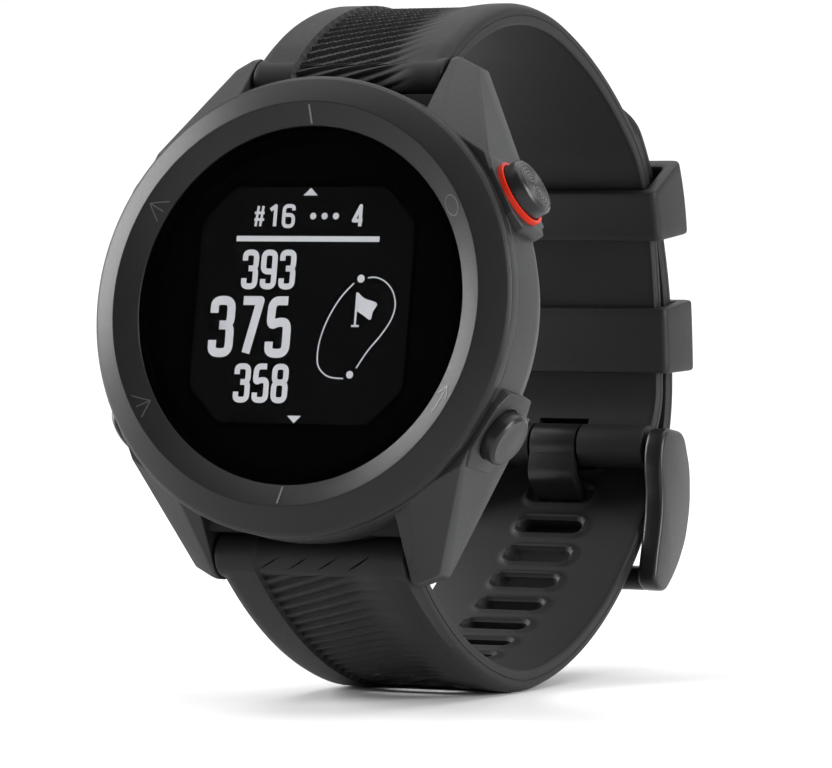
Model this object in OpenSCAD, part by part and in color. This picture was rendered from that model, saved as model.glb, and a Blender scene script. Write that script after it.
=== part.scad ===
// Golf GPS watch on a closed silicone band.
// Before the lean is applied: X points to 3 o'clock, Z to 12 o'clock, the dial faces -Y,
// and the origin is the middle of the case back. The band's outlines lie in the Y-Z plane.

/* [Case] */
// Diameter of the case and bezel
case_d = 43.7; // [43:0.1:45]
// Thickness from the bezel's ridge to the case back
case_t = 11.5; // [11.2:0.1:12.5]
// Angle by which the case leans back as the watch stands on its band
lean = 10; // [0:1:15]
// Diameter of the glass
lens_d = 33.9; // [33.5:0.1:34.2]

/* [Buttons] */
// Angle of the buttons above and below the line from 9 to 3 o'clock
button_angle = 30; // [28:1:32]
// Diameter of the button caps
cap_d = 5.2; // [4.4:0.1:5.2]
// Diameter of the OK button's cap
ok_cap_d = 5.7; // [4.8:0.1:5.8]
// How far a button sinks when it is pressed
button_travel = 0.6; // [0.4:0.1:0.6]

/* [Band] */
// Width of the band and of the gap between the lugs
band_w = 20; // [19.8:0.1:20]
// Thickness of each half of the band
band_t = 2.2; // [2:0.1:2.3]
// Pitch of the adjustment slots
slot_pitch = 4.1; // [3.8:0.1:4.5]
// Adjustment slots between the lug and the tang
slots_below = 10; // [6:1:10]
// Adjustment slots between the tang and the tip
slots_above = 6; // [0:1:6]

/* [Buckle] */
// Thickness of a buckle arm, seen from the front
arm_w = 2.1; // [1.8:0.1:2.4]
// Width of the buckle's tang
tang_w = 5; // [4:0.1:5.2]

/* [Hidden] */
$fn = 96;

case_r = case_d / 2;
lens_r = lens_d / 2;
// Levels along Y, from the front to the case back at 0
ridge_y = -case_t;
lens_y = ridge_y + 1.2;
seam_y = lens_y + 1.6;         // seam between the bezel and the case
cavity_y = seam_y + 0.8;
waist_y = -4;                  // where the case side starts to draw in
cover_t = 1.2;
flange_y = -cover_t - 1.4;
board_y = -5.8;                // back face of the main board
button_y = -5.4;
// Radii inside the case
cavity_r = 18.4;
window_r = 15.5;
cover_r = 18.6;
opening_r = 15.6;
screw_r = 17.6;
// Band and lugs
lug_gap = band_w / 2 + 0.3;
pin = [-2.2, 22.8];            // spring bar axis in Y-Z at 12 o'clock, mirrored at 6
end_r = 2.2;                   // round end of the band on its spring bar
bar_r = 0.75;
bar_fit = 0.05;
tip_r = 0.45;
tip_x = lug_gap + 1.4;
layer_gap = 0.3;
play = 0.25;                   // between the band and its keepers
// Buckle
buckle_pin = [50.1, -4.9];
far_bar = [50.7, -18.4];
far_bar_r = 1.3;
arm_outline = [[47.7, -5], [48.6, -3.1], [53.2, -2.9], [55.5, -6.4], [56.2, -10.2], [55.7, -13.8],
    [54.1, -16.8], [52.2, -19], [51.2, -19.7], [50.2, -19.7], [49.3, -18.8], [50.6, -16.2],
    [51.2, -12.6], [50.4, -9.8], [48.3, -7.4]];
arm_x = band_w / 2 + 0.45;
tang_t = 1.3;
tang_path = [[48.9, -5.5], [48.7, -8], [50.3, -9.3], [53.9, -11.5], [54.7, -13.2],
    [54.3, -15.5], [52.6, -19.7]];

// --- Band path: tangent arcs in Y-Z, each [centre, radius of the wrist side, start angle, sweep]
function path(p, phi, spec, turn, i = 0) = i >= len(spec) ? [] :
    let (r = spec[i][0], sweep = turn * spec[i][1],
        c = p + turn * r * [-sin(phi), cos(phi)], a = phi - turn * 90,
        q = c + r * [cos(a + sweep), sin(a + sweep)])
    concat([[c, r, a, sweep]], path(q, phi + sweep, spec, turn, i + 1));
function reach(arc) = arc[1] * abs(arc[3]) * PI / 180;
function heading(v) = atan2(v.y, v.x);
function meet(a, ra, b, rb) = let (d = norm(b - a), x = (d * d + ra * ra - rb * rb) / (2 * d),
    h = sqrt(ra * ra - x * x), e = (b - a) / d) a + x * e + h * [-e.y, e.x];

// Buckle half: top of the wrist, back corner, back, hook round the buckle bar
upper = path([-2.1, 23.1], 47, [[27.2, 56.5], [49.2, 22.4], [15, 34.2], [73.3, 13.6], [6, 58]], -1);
// Slotted half as far as the buckle
lower = path([-1.3, -22.05], -40.4, [[36.3, 37.4], [21.4, 19.9], [39, 24]], 1);
// The tail lies outside the buckle half, on the same centres
tail_off = band_t + layer_gap;
back_arc = upper[3];
bend_r = 17;
last_arc = lower[2];
bend_c = meet(last_arc[0], last_arc[1] - bend_r, back_arc[0], back_arc[1] + tail_off - bend_r);
bend_from = heading(bend_c - last_arc[0]);
bend_to = heading(bend_c - back_arc[0]);
corner = upper[2];
tip_sweep = 5;                 // of the tail's tip, past the corner
slotted = [lower[0], lower[1],
    [last_arc[0], last_arc[1], last_arc[2], bend_from - last_arc[2]],
    [bend_c, bend_r, bend_from, bend_to - bend_from],
    [back_arc[0], back_arc[1] + tail_off, bend_to, back_arc[2] - bend_to],
    [corner[0], corner[1] + tail_off, corner[2] + corner[3], -corner[3]],
    [upper[1][0], upper[1][1] + tail_off, corner[2], tip_sweep]];
tang_slot_angle = -26.6;       // on the last arc
// Distance from the lug to the slot that holds the tang
tang_slot_at = reach(lower[0]) + reach(lower[1])
    + last_arc[1] * (tang_slot_angle - last_arc[2]) * PI / 180;
slot_l = 7;
slot_w = 2.2;

module leaned() { rotate([-lean, 0, 0]) children(); }
// A shape drawn in (radius, X) and swept round an axis along X at c, from angle a0 to a1
module swept(c, a0, a1) {
    rotate([90, 0, 90]) translate([c.x, c.y, 0]) rotate_extrude(angle = a1 - a0, start = a0) children();
}
// A Y-Z outline carried along X
module across(w, x = 0) { translate([x, 0, 0]) rotate([90, 0, 90]) linear_extrude(w, center = true) children(); }
// Points along the arcs, off outside the wrist side, about step apart
step = 1.3;
function along(arcs, off) = [for (i = [0:len(arcs) - 1])
    let (arc = arcs[i], n = ceil(reach(arc) / step), last = i == len(arcs) - 1 ? n : n - 1)
    for (k = [0:last]) let (a = arc[2] + arc[3] * k / n) arc[0] + (arc[1] + off) * [cos(a), sin(a)]];
function reversed(v) = [for (i = [len(v) - 1:-1:0]) v[i]];
module band(arcs) {
    across(band_w) polygon(concat(along(arcs, 0), reversed(along(arcs, band_t))));
}
module x_rod(at, r, x0, x1) {
    translate([x0, at.x, at.y]) rotate([0, 90, 0]) cylinder(r = r, h = x1 - x0);
}
// A solid of revolution about the dial axis, drawn in (radius, Y)
module dial_turned() { rotate([-90, 0, 0]) rotate_extrude() children(); }
module dial_disc(r, y0, y1) { translate([0, y1, 0]) rotate([90, 0, 0]) cylinder(r = r, h = y1 - y0); }
module dial_ring(r0, r1, y0, y1) {
    dial_turned() translate([r0, y0]) square([r1 - r0, y1 - y0]);
}
module plate(x0, x1, y0, y1, z0, z1) { translate([x0, y0, z0]) cube([x1 - x0, y1 - y0, z1 - z0]); }
// Local +X runs out through the button at angle a
module at_button(a) { translate([0, button_y, 0]) rotate([0, -a, 0]) children(); }
module rod(r, x0, x1) { translate([x0, 0, 0]) rotate([0, 90, 0]) cylinder(r = r, h = x1 - x0); }
module tube(r0, r1, x0, x1) {
    difference() { rod(r1, x0, x1); rod(r0, x0 - 0.5, x1 + 0.5); }
}
// OK, BACK, UP and DOWN: angle, cap diameter, and how far guard and cap stand out of the case
button_angles = [button_angle, -button_angle, 180 - button_angle, 180 + button_angle];
caps = [ok_cap_d, cap_d, cap_d, cap_d];
guards = [0.6, 0.6, 0.5, 0.5];
heads = [2.65, 2.15, 1.35, 1.35];
stem_r = 0.9;
cap_floor = case_r - 0.7;

// --- Case
lug_tip = [lug_gap + 0.3, -3.1, 24.75];
outer_facet = [0.378, -0.678, 0.63];    // normal of the lug's outer front facet
// Takes off all that lies beyond the plane through p with normal n
module trimmed(p, n) {
    difference() {
        children();
        translate(p) rotate([0, acos(n.z / norm(n)), atan2(n.y, n.x)]) translate([-40, -40, 0]) cube([80, 80, 40]);
    }
}
module lug() {
    trimmed(lug_tip, outer_facet) intersection() {
        translate([0, 0.5, 0]) rotate([90, 0, 0]) linear_extrude(10)
            polygon([[lug_gap, 12], [lug_gap, 25.4], [12.95, 24.1], [18.45, 12.3], [15, 11]]);
        across(44) polygon([[seam_y, 10], [seam_y, 17.6], [lug_tip.y, lug_tip.z], [-2.2, 25.2],
            [-0.8, 25.1], [0, 24.2], [0, 10]]);
    }
}
// An eight-sided guard round a button, standing up to radius top
module guard(top) {
    translate([cavity_r, 0, 0]) rotate([90, 0, 90]) linear_extrude(top - cavity_r)
        polygon([[-3.2, -2.3], [-2.3, -4], [2.3, -4], [3.2, -2.3], [3.2, 2.3], [2.3, 4], [-2.3, 4], [-3.2, 2.3]]);
}
module case_body() { color("#2b2d30") leaned() difference() {
    union() {
        dial_turned() polygon([[window_r, seam_y], [case_r, seam_y], [case_r, waist_y],
            [20.6, -0.9], [19.7, 0], [window_r, 0]]);
        for (m = [0, 1], n = [0, 1]) mirror([m, 0, 0]) mirror([0, 0, n]) lug();
        for (i = [0:3]) at_button(button_angles[i]) guard(case_r + guards[i]);
    }
    difference() {
        dial_disc(cavity_r, cavity_y, flange_y);
        for (a = [45:90:315]) rotate([0, a, 0]) translate([screw_r, flange_y + 1, 0])
            rotate([90, 0, 0]) cylinder(r = 1.3, h = 2.8);
    }
    dial_disc(window_r, seam_y - 1, cavity_y + 0.1);
    dial_disc(opening_r, flange_y - 0.1, 1);
    dial_ring(opening_r + 0.3, opening_r + 0.9, -cover_t - 0.5, -cover_t + 0.1);
    dial_disc(cover_r + 0.05, -cover_t, 1);
    for (a = [45:90:315]) rotate([0, a, 0]) translate([screw_r, 0, 0])
        rotate([90, 0, 0]) cylinder(r = 0.5, h = 3.6);
    // Room for the round ends of the band between the lugs
    for (z = [-1, 1]) x_rod([pin.x, z * pin.y], end_r + 0.4, -lug_gap, lug_gap);
    for (z = [-1, 1], x = [-1, 1]) x_rod([pin.x, z * pin.y], tip_r + bar_fit,
        x > 0 ? lug_gap - 0.5 : -lug_gap - 2, x > 0 ? lug_gap + 2 : -lug_gap + 0.5);
    for (a = button_angles) at_button(a) {
        rod(stem_r + bar_fit, cavity_r - 1, case_r + 2);
        rod(1.45, 19.4, 20.2);
    }
    for (i = [0:3]) at_button(button_angles[i]) rod(caps[i] / 2 + 0.1, cap_floor, case_r + 2);
} }
module bezel_ring() { color("#303236") leaned() dial_turned() polygon([[lens_r + 0.05, seam_y],
    [lens_r + 0.05, lens_y - 0.05], [19.15, ridge_y], [case_r - 0.35, lens_y + 0.1],
    [case_r, lens_y + 0.4], [case_r, seam_y]]); }
slope = atan2(ridge_y - lens_y + 0.05, 19.15 - lens_r - 0.05);
module on_slope(a, r) {
    rotate([0, -a, 0]) translate([r, lens_y - 0.05 + (r - lens_r - 0.05) * tan(slope), 0])
        rotate([0, 0, slope]) children();
}
module bezel_marks() { color("#8d9096") leaned() for (a = [90, 270])
    on_slope(a, lens_r + 0.25) plate(0, 1.9, -0.06, 0, -0.09, 0.09); }
module lens() { color("#101114") leaned() dial_disc(lens_r, lens_y, seam_y - 0.15); }
module lens_gasket() { color("#1a1a1a") leaned() dial_ring(window_r + 0.1, lens_r - 0.1, seam_y - 0.15, seam_y); }

// --- Inside the case
module display_module() { color("#23262b") leaned() difference() {
    dial_disc(window_r - 0.3, seam_y + 0.1, seam_y + 1.2);
    plate(-9, 9, seam_y - 1, seam_y + 2, -20, -14.2);
} }
module display_flex() { color("#b5702a") leaned() union() {
    plate(-3, 3, seam_y + 1.2, seam_y + 1.35, -16.95, -13);
    plate(-3, 3, seam_y + 1.2, board_y + 0.15, -17.1, -16.95);
    plate(-3, 3, board_y, board_y + 0.15, -16.95, -14.6);
} }
module chassis_frame() { color("#3a3d42") leaned() difference() {
    union() {
        dial_disc(cavity_r - 0.2, cavity_y + 0.7, cavity_y + 1.3);
        dial_ring(17.3, cavity_r - 0.2, cavity_y + 1.2, -4.5);
    }
    dial_disc(9, cavity_y, cavity_y + 2);
    plate(-3.6, 3.6, cavity_y, cavity_y + 2, -17.35, -16.6);
    for (a = button_angles) at_button(a) translate([14.6, -2, -2.6]) cube([6, 4, 5.2]);
} }
module main_board() { color("#1d5c35") leaned() difference() {
    dial_disc(15.9, board_y - 0.7, board_y);
    for (x = [-1, 1]) translate([x * 6, 0, -13]) rotate([90, 0, 0]) cylinder(r = 0.8, h = 20, center = true);
} }
module board_shield() { color("#b9bcc0") leaned() difference() {
    plate(-8, 6, board_y, board_y + 1.1, -9, 3);
    plate(-7.8, 5.8, board_y - 0.1, board_y + 0.9, -8.8, 2.8);
} }
module gps_antenna() { color("#d8d2c0") leaned() plate(-6, 6, board_y, board_y + 2.2, 10.8, 14.6); }
module battery() { color("#8a8f96") leaned() intersection() {
    plate(-10.5, 10.5, board_y + 1.2, flange_y + 1, -12.5, 9.5);
    dial_disc(15.3, -6, 0);
} }
module battery_pad() { color("#2e2e2e") leaned() plate(-8, 8, flange_y + 1, -cover_t, -10, 7); }
module back_cover() { color("#26282b") leaned() difference() {
    dial_turned() polygon([[0, -cover_t], [cover_r, -cover_t], [cover_r, -0.3], [cover_r - 0.3, 0], [0, 0]]);
    for (a = [45:90:315]) rotate([0, a, 0]) translate([screw_r, 0, 0]) rotate([90, 0, 0]) {
        cylinder(r = 0.55, h = 3);
        translate([0, 0, -1]) cylinder(r = 0.9, h = 1.7);
    }
    plate(-5, 5, -0.6, 1, -11.5, -7.5);
    for (x = [-3, -1, 1, 3]) translate([x, 1, -9.5]) rotate([90, 0, 0]) cylinder(r = 0.6, h = 3);
} }
module back_gasket() { color("#7a2c22") leaned() dial_ring(opening_r + 0.35, opening_r + 0.85, -cover_t - 0.5, -cover_t); }
module back_screws() { color("#c9ccd0") leaned() for (a = [45:90:315]) rotate([0, a, 0])
    translate([screw_r, 0, 0]) rotate([90, 0, 0]) difference() {
        union() {
            translate([0, 0, 0.05]) cylinder(r = 0.85, h = 0.65);
            cylinder(r = 0.5, h = 3.5);
        }
        translate([0, 0, -0.5]) cylinder(r = 0.35, h = 0.9, $fn = 6);
    } }
module charging_contacts() { color("#d8a93a") leaned() for (x = [-3, -1, 1, 3])
    translate([x, -0.5, -9.5]) rotate([90, 0, 0]) cylinder(r = 0.6, h = cover_t - 0.5); }
module button_seals() { color("#33302e") leaned() for (a = button_angles) at_button(a)
    tube(stem_r + bar_fit, 1.4, 19.45, 20.15); }
module button_switches() { color("#a9adb3") leaned() for (a = button_angles) at_button(a)
    translate([15, board_y - button_y, -1.6]) cube([0.95, 1.15, 3.2]); }
module ok_accent_ring() { color("#e2371d") leaned() at_button(button_angle)
    tube(ok_cap_d / 2 + 0.1, ok_cap_d / 2 + 0.4, case_r + guards[0], case_r + guards[0] + 0.5); }

// --- Buttons: a cap on a stem, held inside the case by a clip
module button(i) { leaned() at_button(button_angles[i]) difference() {
    r = caps[i] / 2;
    top = case_r + heads[i];
    union() {
        rod(r - 0.25, top - 0.3, top);
        rod(r, cap_floor + button_travel + 0.1, top - 0.3);
        rod(stem_r, 16.65, cap_floor + button_travel + 0.2);
    }
    tube(0.6, stem_r + 0.1, 17.55, 18);
} }
module clip(i) { color("#c3c6ca") leaned() at_button(button_angles[i]) difference() {
    tube(0.62, 1.5, 17.58, 17.97);
    translate([17, -0.5, 0]) cube([2, 1, 3]);
} }
module ok_button() { color("#232427") button(0); }
module back_button() { color("#2f3134") button(1); }
module up_button() { color("#2f3134") button(2); }
module down_button() { color("#2f3134") button(3); }
module ok_clip() { clip(0); }
module back_clip() { clip(1); }
module up_clip() { clip(2); }
module down_clip() { clip(3); }

// --- Band
lever_x = 6.5;
pin_travel = 1.5;
// Way for the release lever, out towards the wrist
module lever_way(at, h) {
    translate([lever_x - pin_travel - 0.6, at.x, at.y - 0.6]) cube([pin_travel + 1.2, h, 1.2]);
}
module band_end(at) {
    difference() {
        children();
        x_rod(at, bar_r + bar_fit, -12, 12);
        lever_way(at, 12);
    }
}
module upper_strap() { color("#2a2b2d") leaned() difference() {
    band_end(pin) union() {
        band(upper);
        x_rod(pin, end_r, -band_w / 2, band_w / 2);
        x_rod(buckle_pin, end_r, -band_w / 2, band_w / 2);
    }
    x_rod(buckle_pin, bar_r + bar_fit, -12, 12);
    // Room for the tang and its barrel
    x_rod(buckle_pin, 2.9, -tang_w / 2 - 0.3, tang_w / 2 + 0.3);
} }
module slot(arc, a) {
    rotate([90, 0, 90]) translate([arc[0].x, arc[0].y, 0]) rotate([0, 0, a]) {
        for (x = [-1, 1]) translate([arc[1] - 1, 0, x * (slot_l - slot_w) / 2]) rotate([0, 90, 0])
            cylinder(r = slot_w / 2, h = band_t + 2);
        translate([arc[1] - 1, -slot_w / 2, -(slot_l - slot_w) / 2])
            cube([band_t + 2, slot_w, slot_l - slot_w]);
    }
}
// The slot at distance s from the lug, on whichever arc it falls
module slot_at(s, i = 0) {
    l = reach(slotted[i]);
    if (s > l && i < len(slotted) - 1) slot_at(s - l, i + 1);
    else slot(slotted[i], slotted[i][2] + s / slotted[i][1] * 180 / PI);
}
module lower_strap() { color("#2a2b2d") leaned() difference() {
    band_end([pin.x, -pin.y]) union() {
        band(slotted);
        x_rod([pin.x, -pin.y], end_r, -band_w / 2, band_w / 2);
    }
    for (i = [-slots_below:slots_above]) slot_at(tang_slot_at + i * slot_pitch);
} }
module spring_bar(at) { color("#b7babe") leaned() difference() {
    union() {
        x_rod(at, bar_r, -9.7, 9.7);
        x_rod(at, tip_r, -tip_x, -9.6);
    }
    x_rod(at, tip_r + bar_fit, -6, 10);
    translate([lever_x - pin_travel - 0.5, at.x, at.y - 0.5]) cube([pin_travel + 1, 2, 1]);
} }
module top_spring_bar() { spring_bar(pin); }
module bottom_spring_bar() { spring_bar([pin.x, -pin.y]); }
module release_pin(at) { color("#c9ccd0") leaned() union() {
    x_rod(at, tip_r, 2.5, tip_x);
    translate([lever_x, at.x, at.y]) rotate([-90, 0, 0]) cylinder(r = 0.4, h = 3.1);
} }
module top_release_pin() { release_pin(pin); }
module bottom_release_pin() { release_pin([pin.x, -pin.y]); }
// Coil inside the bar: a round wire swept along a helix
coil_r = 0.34;
wire_r = 0.09;
coil_turns = 8;
coil_steps = 12;
wire_sides = 6;
function coil_point(i, j, l) = let (a = i * 360 / coil_steps, b = j * 360 / wire_sides,
    r = coil_r + wire_r * cos(b)) [i * l / (coil_turns * coil_steps) + wire_r * sin(b), r * cos(a), r * sin(a)];
module coil(at) {
    n = coil_turns * coil_steps;
    l = 8.2;
    points = [for (i = [0:n], j = [0:wire_sides - 1]) coil_point(i, j, l)];
    sides = [for (i = [0:n - 1], j = [0:wire_sides - 1]) let (k = (j + 1) % wire_sides)
        [i * wire_sides + j, i * wire_sides + k, (i + 1) * wire_sides + k, (i + 1) * wire_sides + j]];
    ends = [[for (j = [wire_sides - 1:-1:0]) j], [for (j = [0:wire_sides - 1]) n * wire_sides + j]];
    translate([-5.85, at.x, at.y]) polyhedron(points, concat(sides, ends));
}
module top_bar_spring() { color("#9aa0a6") leaned() coil(pin); }
module bottom_bar_spring() { color("#9aa0a6") leaned() coil([pin.x, -pin.y]); }

// --- Buckle
module buckle_bar() { color("#b7babe") leaned() x_rod(buckle_pin, bar_r, -arm_x - 1.5, arm_x + 1.5); }
module buckle_frame() { color("#2f3134") leaned() difference() {
    union() {
        for (x = [-1, 1]) across(arm_w, x * (arm_x + arm_w / 2)) polygon(arm_outline);
        x_rod(far_bar, far_bar_r, -arm_x - arm_w / 2, arm_x + arm_w / 2);
    }
    x_rod(buckle_pin, bar_r + bar_fit, -arm_x - 1.6, arm_x + 1.6);
} }
// A strip of even thickness along a path in Y-Z, with mitred corners
module strip(path, t) {
    n = len(path) - 1;
    side = [for (i = [0:n]) let (u = path[min(i + 1, n)] - path[min(i, n - 1)],
        v = path[max(i, 1)] - path[max(i - 1, 0)], w = u / norm(u) + v / norm(v))
        t / (w * u / norm(u)) / 2 * [-w.y, w.x]];
    polygon(concat(path + side, reversed(path - side)));
}
module buckle_tang() { color("#34363a") leaned() difference() {
    union() {
        x_rod(buckle_pin, end_r, -tang_w / 2, tang_w / 2);
        across(tang_w) strip(tang_path, tang_t);
    }
    x_rod(buckle_pin, bar_r + bar_fit, -6, 6);
} }
module keeper(arc, a, l, inner_t, outer_t) {
    half = l / (arc[1] + band_t) * 90 / PI;
    r0 = arc[1] - play;
    r1 = arc[1] + 2 * band_t + layer_gap + play;
    x = band_w / 2 + play;
    swept(arc[0], a - half, a + half) difference() {
        translate([r0 - inner_t, -x - 1.35]) square([r1 - r0 + inner_t + outer_t, 2 * x + 2.7]);
        translate([r0, -x]) square([r1 - r0, 2 * x]);
    }
}
lower_keeper_angle = 14.1;
upper_keeper_angle = 26.5;
module lower_keeper() { color("#303133") leaned() keeper(back_arc, lower_keeper_angle, 7, 0.8, 1.4); }
module upper_keeper() { color("#303133") leaned() keeper(upper[2], upper_keeper_angle, 6.4, 1, 1.6); }

case_body();
bezel_ring();
bezel_marks();
lens();
lens_gasket();
display_module();
display_flex();
chassis_frame();
main_board();
board_shield();
gps_antenna();
battery();
battery_pad();
back_cover();
back_gasket();
back_screws();
charging_contacts();
button_seals();
button_switches();
ok_accent_ring();
up_button();
down_button();
ok_button();
back_button();
up_clip();
down_clip();
ok_clip();
back_clip();
upper_strap();
lower_strap();
top_spring_bar();
bottom_spring_bar();
top_release_pin();
bottom_release_pin();
top_bar_spring();
bottom_bar_spring();
buckle_bar();
buckle_frame();
buckle_tang();
lower_keeper();
upper_keeper();
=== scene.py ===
"""Golf GPS watch: the looks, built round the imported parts.

Shapes are drawn in millimetres in the case's own directions, before it leans back: X to
3 o'clock, Z to 12 o'clock, the dial faces -Y, and 0 is the middle of the case back.
"""
import math

import bpy
import bmesh
import numpy as np
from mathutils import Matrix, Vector


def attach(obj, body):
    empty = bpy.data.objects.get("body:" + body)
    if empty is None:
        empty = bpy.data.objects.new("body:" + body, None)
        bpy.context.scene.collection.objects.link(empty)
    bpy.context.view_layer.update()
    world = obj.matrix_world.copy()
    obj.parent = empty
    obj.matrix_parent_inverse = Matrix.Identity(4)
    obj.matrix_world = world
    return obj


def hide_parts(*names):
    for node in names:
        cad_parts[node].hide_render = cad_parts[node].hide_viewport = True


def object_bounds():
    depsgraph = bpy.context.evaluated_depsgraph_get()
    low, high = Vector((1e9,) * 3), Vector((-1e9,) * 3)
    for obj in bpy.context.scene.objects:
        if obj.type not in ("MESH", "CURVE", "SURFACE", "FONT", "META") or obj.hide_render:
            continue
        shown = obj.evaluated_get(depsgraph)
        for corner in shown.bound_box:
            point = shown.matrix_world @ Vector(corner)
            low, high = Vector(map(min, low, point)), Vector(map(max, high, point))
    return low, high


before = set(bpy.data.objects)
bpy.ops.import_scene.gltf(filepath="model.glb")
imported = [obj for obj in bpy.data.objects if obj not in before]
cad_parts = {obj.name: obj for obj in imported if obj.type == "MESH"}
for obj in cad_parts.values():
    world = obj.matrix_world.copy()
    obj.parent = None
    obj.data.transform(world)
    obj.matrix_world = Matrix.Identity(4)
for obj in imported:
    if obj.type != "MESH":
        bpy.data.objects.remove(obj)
cad_low, cad_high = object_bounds()

MM = 0.001
LEAN = math.radians(10)

# Dial side
CASE_R = 21.85
LENS_R = 16.95
RIDGE_R = 19.15
RIDGE_Y = -11.5
LENS_Y = RIDGE_Y + 1.2
SEAM_Y = LENS_Y + 1.6
WAIST_Y = -4.0
BUTTON_Y = -5.4
BUTTON_ANGLE = 30
CAP_R, OK_CAP_R = 2.6, 2.85
GUARD, OK_GUARD = 0.5, 0.6
# Band
HALF_W = 10.0
BAND_T = 2.2
TAIL_OFF = BAND_T + 0.3
PIN = (-2.2, 22.8)
END_R = 2.2
BORE_R = 0.8
PLAY = 0.25
SLOT_L, SLOT_W, SLOT_PITCH = 7.0, 1.7, 4.1
TANG_SLOT = (5.5, 2.2)
TANG_SLOT_ANGLE = -26.6
# Buckle
BUCKLE_PIN = (50.1, -4.9)
FAR_BAR = (50.7, -18.4)
ARM_X, ARM_W = 10.45, 2.1
ARM_OUTLINE = [(47.7, -5), (48.6, -3.1), (53.2, -2.9), (55.5, -6.4), (56.2, -10.2), (55.7, -13.8),
               (54.1, -16.8), (52.2, -19), (51.2, -19.7), (49.6, -19.7), (48.3, -18.9), (48.5, -16.4),
               (49.0, -12.6), (48.8, -9.8), (47.9, -7.4)]
TANG_PATH = [(48.9, -5.5), (48.7, -8), (50.3, -9.3), (53.9, -11.5), (54.7, -13.2), (54.3, -15.5),
             (52.6, -19.7)]
TANG_W, TANG_T = 5.0, 1.3


# ------------------------------------------------------------------ helpers
def place(points):
    """Case directions in millimetres to the row frame in metres."""
    p = np.asarray(points, float)
    c, s = math.cos(LEAN), math.sin(LEAN)
    y = p[:, 1] * c + p[:, 2] * s
    z = -p[:, 1] * s + p[:, 2] * c
    return np.stack([p[:, 0], y, z], 1) * MM


def smoothstep(t):
    t = np.clip(t, 0, 1)
    return t * t * (3 - 2 * t)


def polar(c, r, a):
    a = math.radians(a)
    return np.array([c[0] + r * math.cos(a), c[1] + r * math.sin(a)])


def soften(points, r, closed=True, k=4):
    """The outline with each corner rounded over about r."""
    p = [np.asarray(q, float) for q in points]
    n = len(p)
    out = []
    for i in range(n):
        if not closed and i in (0, n - 1):
            out.append(p[i])
            continue
        a, b, c = p[i - 1], p[i], p[(i + 1) % n]
        la, lc = np.linalg.norm(a - b), np.linalg.norm(c - b)
        if la < 1e-9 or lc < 1e-9:
            out.append(b)
            continue
        s = b + (a - b) / la * min(r, 0.45 * la)
        e = b + (c - b) / lc * min(r, 0.45 * lc)
        out += [(1 - t) ** 2 * s + 2 * t * (1 - t) * b + t * t * e for t in np.linspace(0, 1, k + 1)]
    return out


def new_object(name, verts, faces):
    mesh = bpy.data.meshes.new(name)
    mesh.from_pydata([tuple(v) for v in place(verts)], [], faces)
    mesh.validate()
    bm = bmesh.new()
    bm.from_mesh(mesh)
    bmesh.ops.remove_doubles(bm, verts=bm.verts, dist=1e-7)
    bmesh.ops.recalc_face_normals(bm, faces=bm.faces)
    bm.to_mesh(mesh)
    bm.free()
    obj = bpy.data.objects.new(name, mesh)
    bpy.context.scene.collection.objects.link(obj)
    return obj


def shade(obj, angle=35):
    obj.data.shade_smooth()
    obj.data.set_sharp_from_angle(angle=math.radians(angle))


def bake(obj):
    """Puts the modifiers into the mesh."""
    bpy.context.view_layer.update()
    graph = bpy.context.evaluated_depsgraph_get()
    mesh = bpy.data.meshes.new_from_object(obj.evaluated_get(graph))
    obj.modifiers.clear()
    obj.data = mesh


def bevel(obj, width, segments=3, angle=40):
    m = obj.modifiers.new("bevel", "BEVEL")
    m.width = width * MM
    m.segments = segments
    m.limit_method = "ANGLE"
    m.angle_limit = math.radians(angle)
    m.harden_normals = False
    bake(obj)


def boolean(obj, other, operation):
    m = obj.modifiers.new("cut", "BOOLEAN")
    m.operation = operation
    m.solver = "MANIFOLD"
    m.object = other
    bake(obj)
    bpy.data.objects.remove(other)


def keep(obj, body, material, *nodes, slot=None):
    obj.data.materials.clear()
    obj.data.materials.append(material)
    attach(obj, body)
    if nodes:
        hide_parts(*nodes)
    return obj


def grid(rings, closed=True):
    """Vertices and faces of a skin over rings of points, with flat ends if closed is False."""
    n, m = len(rings), len(rings[0])
    faces = []
    for i in range(n if closed else n - 1):
        for j in range(m):
            a, b = i * m, (i + 1) % n * m
            faces.append((a + j, a + (j + 1) % m, b + (j + 1) % m, b + j))
    if not closed:
        faces += [tuple(range(m)), tuple(reversed(range((n - 1) * m, n * m)))]
    return [p for ring in rings for p in ring], faces


def turned(profile, origin=(0, 0, 0), axis=(0, 1, 0), n=160):
    """A closed profile of (radius, height) turned about an axis; points at radius 0 meet."""
    axis = np.array(axis, float)
    e1 = np.cross(axis, (1, 0, 0) if abs(axis[0]) < 0.9 else (0, 1, 0))
    e1 /= np.linalg.norm(e1)
    e2 = np.cross(axis, e1)
    rings = []
    for i in range(n):
        t = 2 * math.pi * i / n
        d = math.cos(t) * e1 + math.sin(t) * e2
        rings.append([np.array(origin) + r * d + h * axis for r, h in profile])
    return grid(rings)


def prism(outline, x0, x1):
    """An outline in Y-Z carried from x0 to x1."""
    return grid([[(x, p[0], p[1]) for p in outline] for x in (x0, x1)], closed=False)


def slab(outline, y0, y1):
    """An outline in X-Z carried from y0 to y1."""
    return grid([[(p[0], y, p[1]) for p in outline] for y in (y0, y1)], closed=False)


def joined(parts):
    verts, faces = [], []
    for v, f in parts:
        faces += [tuple(i + len(verts) for i in face) for face in f]
        verts += list(v)
    return verts, faces


# ------------------------------------------------------------------ materials
def principled(name):
    mat = bpy.data.materials.new(name)
    mat.use_nodes = True
    nodes = mat.node_tree.nodes
    return mat, nodes, mat.node_tree.links, nodes["Principled BSDF"]


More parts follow.
